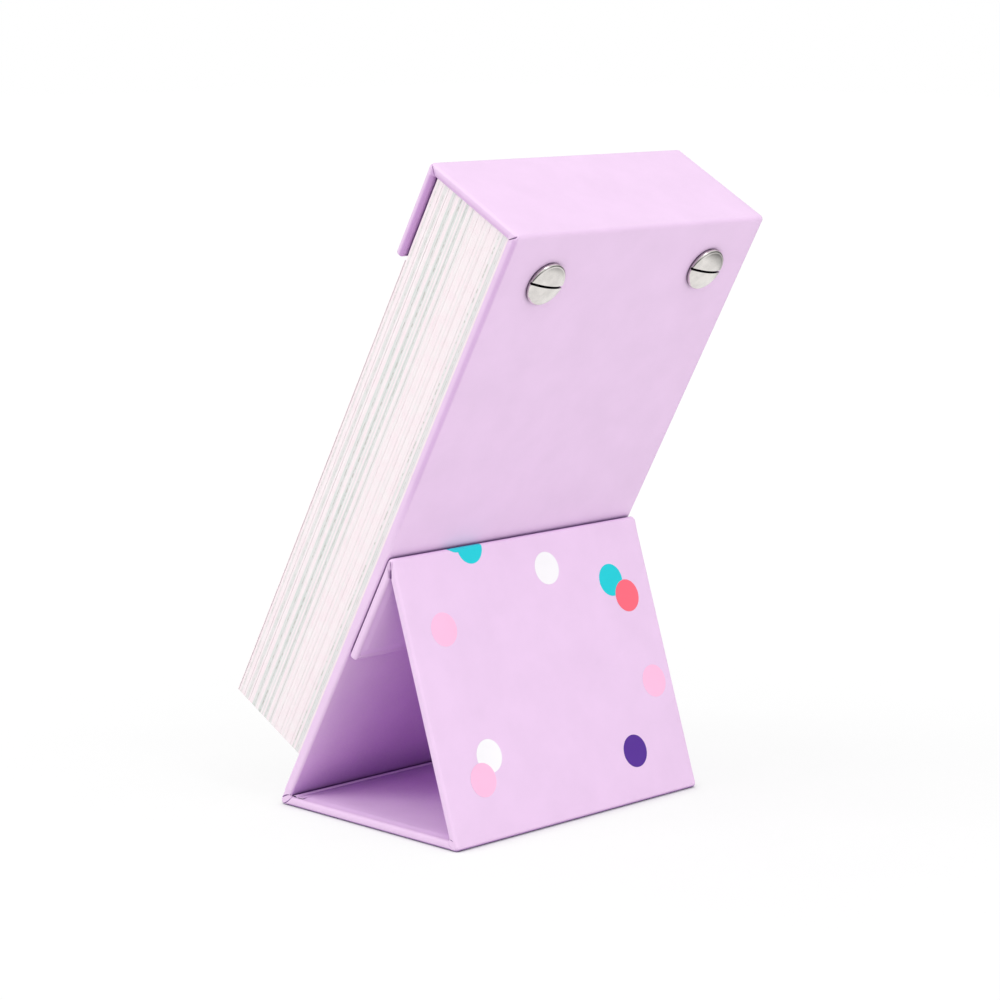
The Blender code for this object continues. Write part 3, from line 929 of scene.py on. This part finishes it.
def make_sheets(number, block, chance):
    """The single sheets of one section, each a little out of line with the next."""
    node = f"pages_{number:02d}"
    low, high = page_box(node)
    pitch = (high.z - low.z) / SHEETS_PER_SECTION
    vertices, faces, tints, dashes = [], [], [], []
    jog = [chance.uniform(0.0, SECTION_JOG) for _ in range(3)]
    for i in range(SHEETS_PER_SECTION):
        back = low.z + pitch * i
        front = back + pitch - SHEET_GAP
        depth = 1 - ((back + front) / 2 - block[0]) / (block[1] - block[0])
        grey = max((amount for start, end, amount in GREY_BANDS if start <= depth <= end), default=0.0)
        tint = grey * chance.uniform(0.75, 1.0) + chance.uniform(0.0, 0.12)
        dash = 1.0 if any(abs(depth - at) < 0.6 * pitch / (block[1] - block[0]) for at in DASHED_AT) else 0.0
        inset = [jog[0] + chance.uniform(0.0, SHEET_JOG), jog[1] + chance.uniform(0.0, SHEET_JOG)]
        drop = jog[2] + chance.uniform(0.0, SHEET_DROP)
        phase = chance.uniform(0.0, 50.0)
        first = len(vertices)
        for step in range(SHEET_STEPS + 1):
            y = low.y + drop + (high.y + SHEET_RISE - low.y - drop) * step / SHEET_STEPS
            places = [Vector((y / RIPPLE_LENGTH, phase + shift, 0.0)) for shift in (0.0, 9.0)]
            ripple = [noise.noise(place) * RIPPLE_HEIGHT for place in places]
            x = [
                low.x + SHEET_INSET + inset[0] + max(0.0, ripple[0]),
                high.x - SHEET_INSET - inset[1] - max(0.0, ripple[1]),
            ]
            vertices += [(x[0], y, back), (x[1], y, back), (x[1], y, front), (x[0], y, front)]
        for step in range(SHEET_STEPS):
            a = first + step * 4
            faces += [(a + s, a + 4 + s, a + 4 + (s + 1) % 4, a + (s + 1) % 4) for s in range(4)]
        faces.append((first, first + 1, first + 2, first + 3))
        last = first + SHEET_STEPS * 4
        faces.append((last + 3, last + 2, last + 1, last))
        tints += [tint] * (len(vertices) - first)
        dashes += [dash] * (len(vertices) - first)
    mesh = bpy.data.meshes.new(f"sheets_{number:02d}")
    mesh.from_pydata([PAGE_FRAME @ Vector(v) for v in vertices], [], faces)
    for key, values in (("tint", tints), ("dash", dashes)):
        mesh.attributes.new(key, "FLOAT", "POINT").data.foreach_set("value", values)
    sheets = new_piece(f"sheets_{number:02d}", mesh, "page_paper")
    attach(sheets, "case")
    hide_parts(node)


def make_leaf():
    """The front leaf, from behind the strip down to the bottom of the block, with its rows closer together about
    its joint.
    """
    low, high = page_box("front_leaf")
    bend, bottom = high.y, low.y
    back, front = low.z, high.z
    half = high.x - SHEET_INSET
    heights = [bend + LEAF_ROOT - LEAF_STEP * i for i in range(15)]
    last = heights[-1]
    heights += [last + (bottom - last) * (i + 1) / 24 for i in range(24)]
    columns = [half - 2 * half * i / 12 for i in range(13)]
    rows = [[PAGE_FRAME @ Vector((x, y, (back + front) / 2)) for x in columns] for y in heights]
    mesh = grid_mesh("leaf_sheet", rows)
    leaf = new_piece("leaf_sheet", mesh, "page_paper")
    thicken(leaf, front - back - LEAF_THINNING, 0.0)
    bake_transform(leaf)
    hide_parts("front_leaf")
    make_numbers(bend, front)


# Plain day numbers on the front leaf, in seven columns
NUMBER_SIZE = 5.2 * MM
NUMBER_TOP = 70 * MM  # of the first row, down from the leaf's bend
NUMBER_PITCH = (9.2 * MM, 8.6 * MM)
FIRST_COLUMN = 2
DATE_SIZE = 38 * MM
DATE_DROP = 48 * MM


def flat_text(text, size, place):
    """Flat numbers as a mesh, centred on a place of the leaf."""
    data = bpy.data.curves.new(f"number_{text}", "FONT")
    data.body = text
    data.size = size
    data.align_x = "CENTER"
    data.resolution_u = max(4, round(size / (3 * MM)))
    data.extrude = 0.008 * MM
    curve = link(data.name, data)
    graph = bpy.context.evaluated_depsgraph_get()
    mesh = bpy.data.meshes.new_from_object(curve.evaluated_get(graph))
    bpy.data.objects.remove(curve, do_unlink=True)
    mesh.transform(Matrix.Translation(place))
    return mesh


def make_numbers(bend, front):
    """The number of a month and the numbers of its days under it, printed on the front leaf."""
    texts = [("01", DATE_SIZE, Vector((0.0, bend - DATE_DROP, 0.0)), "teal")]
    for day in range(1, 32):
        row, column = divmod(day - 1 + FIRST_COLUMN, 7)
        x = (column - 3) * NUMBER_PITCH[0]
        place = Vector((x, bend - NUMBER_TOP - row * NUMBER_PITCH[1], 0.0))
        texts.append((str(day), NUMBER_SIZE, place, "coral" if column > 4 else "purple"))
    for colour in ("teal", "purple", "coral"):
        shape = bmesh.new()
        for text, size, place, wanted in texts:
            if wanted == colour:
                letter = flat_text(text, size, place)
                shape.from_mesh(letter)
                bpy.data.meshes.remove(letter)
        lift = Matrix.Translation((0.0, 0.0, front + PRINT_LIFT))
        bmesh.ops.transform(shape, matrix=PAGE_FRAME @ lift, verts=shape.verts)
        mesh = finished(f"numbers_{colour}", shape)
        numbers = new_piece(f"numbers_{colour}", mesh, colour)
        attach(numbers, "leaf")


def turned_mesh(name, profile, steps):
    """A closed mesh turned about z from a profile of (radius, height) that starts and ends on the axis."""
    shape = bmesh.new()
    rings = []
    for radius, height in profile:
        if radius < 1e-9:
            rings.append([shape.verts.new((0.0, 0.0, height))])
            continue
        turns = [2 * math.pi * i / steps for i in range(steps)]
        places = [(radius * math.cos(turn), radius * math.sin(turn), height) for turn in turns]
        rings.append([shape.verts.new(place) for place in places])
    for upper, lower in zip(rings, rings[1:]):
        for i in range(steps):
            j = (i + 1) % steps
            if len(upper) == 1:
                shape.faces.new((upper[0], lower[i], lower[j]))
            elif len(lower) == 1:
                shape.faces.new((upper[j], upper[i], lower[0]))
            else:
                shape.faces.new((upper[j], upper[i], lower[i], lower[j]))
    bmesh.ops.recalc_face_normals(shape, faces=shape.faces)
    return finished(name, shape)


def head_profile():
    """A low domed head with a soft rim, from its crown to its seat."""
    rise = HEAD_HEIGHT - HEAD_RIM
    sphere = (HEAD_RADIUS**2 + rise**2) / (2 * rise)
    spread = math.asin((HEAD_RADIUS - HEAD_ROUND) / sphere)
    profile = []
    for i in range(25):
        angle = spread * i / 24
        drop = sphere * (1 - math.cos(angle))
        profile.append((sphere * math.sin(angle), HEAD_SEAT_GAP + HEAD_HEIGHT - drop))
    corner = profile[-1][1]
    for i in range(1, 7):
        turn = math.pi / 2 * i / 6
        radius = HEAD_RADIUS - HEAD_ROUND * (1 - math.sin(turn))
        profile.append((radius, corner - HEAD_ROUND * (1 - math.cos(turn))))
    profile += [(HEAD_RADIUS, HEAD_SEAT_GAP + 0.08 * MM), (HEAD_RADIUS - 0.08 * MM, HEAD_SEAT_GAP)]
    return profile


def make_head(side, joint_name, body, node, slotted):
    """A screw head on the back, or a barrel's head on the strip, with its shank."""
    joint = JOINTS[joint_name]
    seat = Vector(joint["pos_m"])
    outwards = Vector((0.0, *BACK))
    if not slotted:
        seat -= outwards * CASE_DEPTH
        outwards = -outwards
    across = Vector((1.0, 0.0, 0.0))
    frame_matrix = Matrix((across, outwards.cross(across), outwards)).transposed().to_4x4()
    place = Matrix.Translation(seat) @ frame_matrix
    shank = POST_RADIUS - SHANK_INSET if slotted else POST_RADIUS
    length = SHANK_LENGTH if slotted else CASE_DEPTH - POST_END_GAP
    profile = [*head_profile(), (shank, HEAD_SEAT_GAP), (shank, -length), (0.0, -length)]
    mesh = turned_mesh(f"{node}_detail", profile, HEAD_STEPS)
    piece = new_piece(f"{node}_detail", mesh, "nickel")
    if slotted:
        crown = HEAD_SEAT_GAP + HEAD_HEIGHT
        reach = HEAD_RADIUS + CUTTER_MARGIN
        shape = bmesh.new()
        bmesh.ops.create_cube(shape, size=1.0)
        bmesh.ops.scale(shape, vec=(2 * reach, SLOT_WIDTH, CUTTER_HEIGHT), verts=shape.verts)
        level = crown - SLOT_DEPTH + CUTTER_HEIGHT / 2
        bmesh.ops.translate(shape, vec=(0.0, 0.0, level), verts=shape.verts)
        bmesh.ops.rotate(shape, matrix=Matrix.Rotation(SLOT_TURN[side], 3, "Z"), verts=shape.verts)
        cutter = link(f"slot_{side}", finished(f"slot_{side}", shape))
        cut = piece.modifiers.new("slot", "BOOLEAN")
        cut.operation = "DIFFERENCE"
        cut.solver = "EXACT"
        cut.object = cutter
        soften = piece.modifiers.new("soft", "BEVEL")
        soften.width = SOFT_EDGE
        soften.segments = 2
        soften.limit_method = "ANGLE"
        soften.angle_limit = math.radians(50)
        apply_modifiers(piece)
        bpy.data.objects.remove(cutter, do_unlink=True)
    piece.data.transform(place)
    shade_smooth(piece, 30.0)
    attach(piece, body)
    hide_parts(node)


# Print on the stand: (material, place across and distance down from the apex corner in mm, layer)
DOT_RADIUS = 3.62 * MM
DOTS = {
    "dot_teal_top": ("teal", 15.06, 1.62, 1),
    "dot_teal_fold": ("teal", 18.7, -1.3, 2),
    "dot_white_top": ("white", -6.37, 9.12, 1),
    "dot_teal_right": ("teal", -25.19, 14.36, 1),
    "dot_coral_right": ("coral", -29.19, 18.46, 2),
    "dot_pink_left": ("pink", 27.46, 17.8, 1),
    "dot_pink_right": ("pink", -31.55, 38.32, 1),
    "dot_purple": ("purple", -20.59, 52.41, 1),
    "dot_white_low": ("white", 22.83, 45.8, 1),
    "dot_pink_low": ("pink", 25.96, 50.4, 2),
}
PRINT_LIFT = 0.012 * MM
PRINT_STEPS = 20


def stand_sheet():
    """The outer face from the apex fold down the stand: stations and their distances from the corner."""
    fold = FOLDS["apex"]
    path = list(reversed(fold_path(fold)))
    lengths = running_lengths(path)
    return path, [length - lengths[-1] + fold.setback for length in lengths]


APEX_PATH, APEX_DOWNS = stand_sheet()


def on_stand(x, down, lift):
    """A point over the sheet on the stand, down from the apex corner; above it, it goes round the fold."""
    panel = PANELS["stand"]
    if down >= APEX_DOWNS[-1]:
        return panel.frame @ Vector((x, down, lift - wave(x, down, PANEL_SEEDS["stand"]) * end_fade(panel, down)))
    down = max(down, APEX_DOWNS[0])
    index = next(i for i, other in enumerate(APEX_DOWNS) if other >= down)
    index = max(1, index)
    (a, normal_a), (b, normal_b) = APEX_PATH[index - 1], APEX_PATH[index]
    share = (down - APEX_DOWNS[index - 1]) / (APEX_DOWNS[index] - APEX_DOWNS[index - 1])
    return world(x, a.lerp(b, share) - normal_a.lerp(normal_b, share) * lift)


def make_dot(name, material, x, down, layer):
    """A thin round print on the stand. One that reaches over the fold is laid round it."""
    lift = layer * PRINT_LIFT
    rows = []
    for i in range(PRINT_STEPS * 2 + 1):
        angle = math.pi * i / (PRINT_STEPS * 2)
        height = down * MM - DOT_RADIUS * math.cos(angle)
        width = max(DOT_RADIUS * math.sin(angle), 0.02 * MM)
        steps = [-1 + j / PRINT_STEPS for j in range(PRINT_STEPS * 2 + 1)]
        rows.append([on_stand(x * MM + width * step, height, lift) for step in steps])
    mesh = grid_mesh(name, rows)
    face_outwards(mesh, len(mesh.polygons) - 1, Vector((0.0, *APEX_PATH[-1][1])))
    dot = new_piece(name, mesh, material)
    thicken(dot, PRINT_LIFT * 0.6, 1.0)
    if down * MM - DOT_RADIUS < APEX_DOWNS[-1]:
        path = fold_path(FOLDS["apex"])
        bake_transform(dot)
    else:
        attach(dot, "stand")


CAMERA_AZIMUTH = math.radians(134.85)
CAMERA_ELEVATION = math.radians(9.433)
CAMERA_DISTANCE = 657.5 * MM
CAMERA_TARGET = Vector((-0.13, 1.68, 66.73)) * MM
CAMERA_LENS = 108.69


def direction(azimuth, elevation):
    """The unit vector from the object towards a viewer at these angles."""
    level = math.cos(elevation)
    return Vector((math.sin(azimuth) * level, -math.cos(azimuth) * level, math.sin(elevation)))


def aim(item, azimuth, elevation, distance):
    """Put a camera or lamp out from the object, facing it."""
    outwards = direction(azimuth, elevation)
    item.location = CAMERA_TARGET + outwards * distance
    item.rotation_euler = (-outwards).to_track_quat("-Z", "Y").to_euler()


def make_camera():
    data = bpy.data.cameras.new("camera")
    data.lens = CAMERA_LENS
    data.clip_start = 0.01
    data.clip_end = 50.0
    camera = link("camera", data)
    aim(camera, CAMERA_AZIMUTH, CAMERA_ELEVATION, CAMERA_DISTANCE)
    bpy.context.scene.camera = camera


def make_lamp(name, azimuth, elevation, distance, size, power):
    data = bpy.data.lights.new(name, "AREA")
    data.shape = "DISK"
    data.size = size
    data.energy = power
    aim(link(name, data), math.radians(azimuth), math.radians(elevation), distance)


# Light from the world: an even part and soft patches as (azimuth, elevation, reach in degrees, strength)
WORLD_LIGHT = 0.94
WORLD_PATCHES = [
    (90.0, 20.0, 60.0, -0.05),
    (180.0, 15.0, 75.0, 0.36),
    (270.0, 10.0, 80.0, -0.6),
    (135.0, 0.0, 50.0, -0.35),
]
# Soft lamps as (azimuth, elevation, distance, size, power)
LAMPS = {
    "key": (175.0, 55.0, 1.2, 0.35, 2.2),
    "low": (185.0, 6.0, 1.2, 0.9, 1.2),
    "left": (65.0, 38.0, 1.2, 0.6, 3.5),
}
FLOOR_ALBEDO = 0.82
FLOOR_DROP = 0.02 * MM  # under the base
FLOOR_GLOW = 0.81
FLOOR_FADE = (90 * MM, 260 * MM)  # from here to there the floor turns to plain white
CONTACT_REACH = 6 * MM
CONTACT_GLOW = 0.0
# In mirrors the floor darkens over this reach, and the world over these heights of direction
MIRRORED_FADE = (260 * MM, 420 * MM)
MIRRORED_RISE = (0.1, 0.6)
MIRRORED_LIGHT = (0.16, 1.0)


def make_world():
    """White to the camera. Its light is even but for soft patches, and mirrors show it darker low down."""
    studio = bpy.data.worlds.new("studio")
    bpy.context.scene.world = studio
    studio.use_nodes = True
    nodes = Nodes(studio.node_tree, "Generated")
    light = WORLD_LIGHT
    for azimuth, elevation, reach, strength in WORLD_PATCHES:
        patch = nodes.towards(azimuth, elevation, 0.0, reach)
        light = nodes.math("ADD", light, nodes.math("MULTIPLY", patch, strength))
    split = nodes.add("ShaderNodeSeparateXYZ")
    nodes.join(nodes.place, split.inputs["Vector"])
    mirrored = nodes.remap(split.outputs["Z"], *MIRRORED_RISE, *MIRRORED_LIGHT)
    rays = nodes.add("ShaderNodeLightPath")
    light = nodes.blend_values(rays.outputs["Is Glossy Ray"], light, mirrored)
    light = nodes.blend_values(rays.outputs["Is Camera Ray"], light, 1.0)
    background = studio.node_tree.nodes["Background"]
    background.inputs["Color"].default_value = (1.0, 1.0, 1.0, 1.0)
    nodes.join(light, background.inputs["Strength"])


def make_floor():
    """A white floor, which glows white to the camera and keeps part of the object's shadow."""
    shader = Shader("floor")
    grain = shader.noise(30 * MM, detail=3.0)
    low, high = [(FLOOR_ALBEDO * k,) * 3 + (1.0,) for k in (0.98, 1.02)]
    shader.feed("Base Color", shader.ramp(grain, [(0.3, low), (0.7, high)]))
    shader.set({"Roughness": 0.9, "Specular IOR Level": 0.1})
    reach = shader.add("ShaderNodeVectorMath", operation="LENGTH")
    shader.join(shader.place, reach.inputs[0])
    far = shader.remap(reach.outputs["Value"], *FLOOR_FADE, FLOOR_GLOW, 1.0)
    dark = shader.remap(reach.outputs["Value"], *MIRRORED_FADE, 1.0, MIRRORED_LIGHT[0])
    contact = shader.remap(shader.occlusion(CONTACT_REACH), 0.5, 0.9, CONTACT_GLOW, 1.0)
    rays = shader.add("ShaderNodeLightPath")
    glow = shader.add("ShaderNodeEmission")
    shader.join(shader.blend_values(rays.outputs["Is Glossy Ray"], 1.02, dark), glow.inputs["Strength"])
    direct = shader.math("MAXIMUM", rays.outputs["Is Camera Ray"], rays.outputs["Is Glossy Ray"])
    direct = shader.math("MAXIMUM", direct, rays.outputs["Is Transmission Ray"])
    blend = shader.add("ShaderNodeMixShader")
    share = shader.math("MULTIPLY", shader.math("MULTIPLY", direct, far), contact)
    shader.join(share, blend.inputs["Fac"])
    shader.join(shader.surface.outputs["BSDF"], blend.inputs[1])
    shader.join(glow.outputs["Emission"], blend.inputs[2])
    output = shader.tree.nodes["Material Output"]
    shader.join(blend.outputs["Shader"], output.inputs["Surface"])
    shape = bmesh.new()
    bmesh.ops.create_grid(shape, x_segments=8, y_segments=8, size=4.0)
    mesh = finished("floor", shape)
    mesh.materials.append(shader.material)
    floor = link("floor", mesh)
    floor.location.z = -FLOOR_DROP


def dress_nodes():
    """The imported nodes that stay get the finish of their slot."""
    for part in frame["record"]["subparts"]:
        node = frame["nodes"][part["node"]]
        node.data.materials.clear()
        node.data.materials.append(MATERIALS[part["material_slot"]])


def make_calendar():
    for name, panel in PANELS.items():
        make_cover(name, panel, PANEL_SEEDS[name])
    for name in ("flap", "stand", "base"):
        make_lining(name)
    for name in ("strip", "spine", "heel"):
        make_fold(name)
    make_gutter()
    for name in ("foot", "apex"):
        make_fold(name)
    block = (page_box("pages_12")[0].z, page_box("pages_01")[1].z)
    chance = random.Random(7)
    for number in range(1, 13):
        make_sheets(number, block, chance)
    make_leaf()
    for side in ("left", "right"):
        make_head(side, f"{side}_screw_turn", f"screw_{side}", f"binding_screw_{side}", True)
        make_head(side, f"{side}_screw_turn", "case", f"post_barrel_{side}", False)
    for name, (material, x, down, layer) in DOTS.items():
        make_dot(name, material, x, down, layer)


def set_view():
    scene = bpy.context.scene
    scene.view_settings.view_transform = "Standard"
    make_camera()
    make_world()
    make_floor()
    for name, (azimuth, elevation, distance, size, power) in LAMPS.items():
        make_lamp(name, azimuth, elevation, distance, size, power)


dress_nodes()
make_calendar()
set_view()
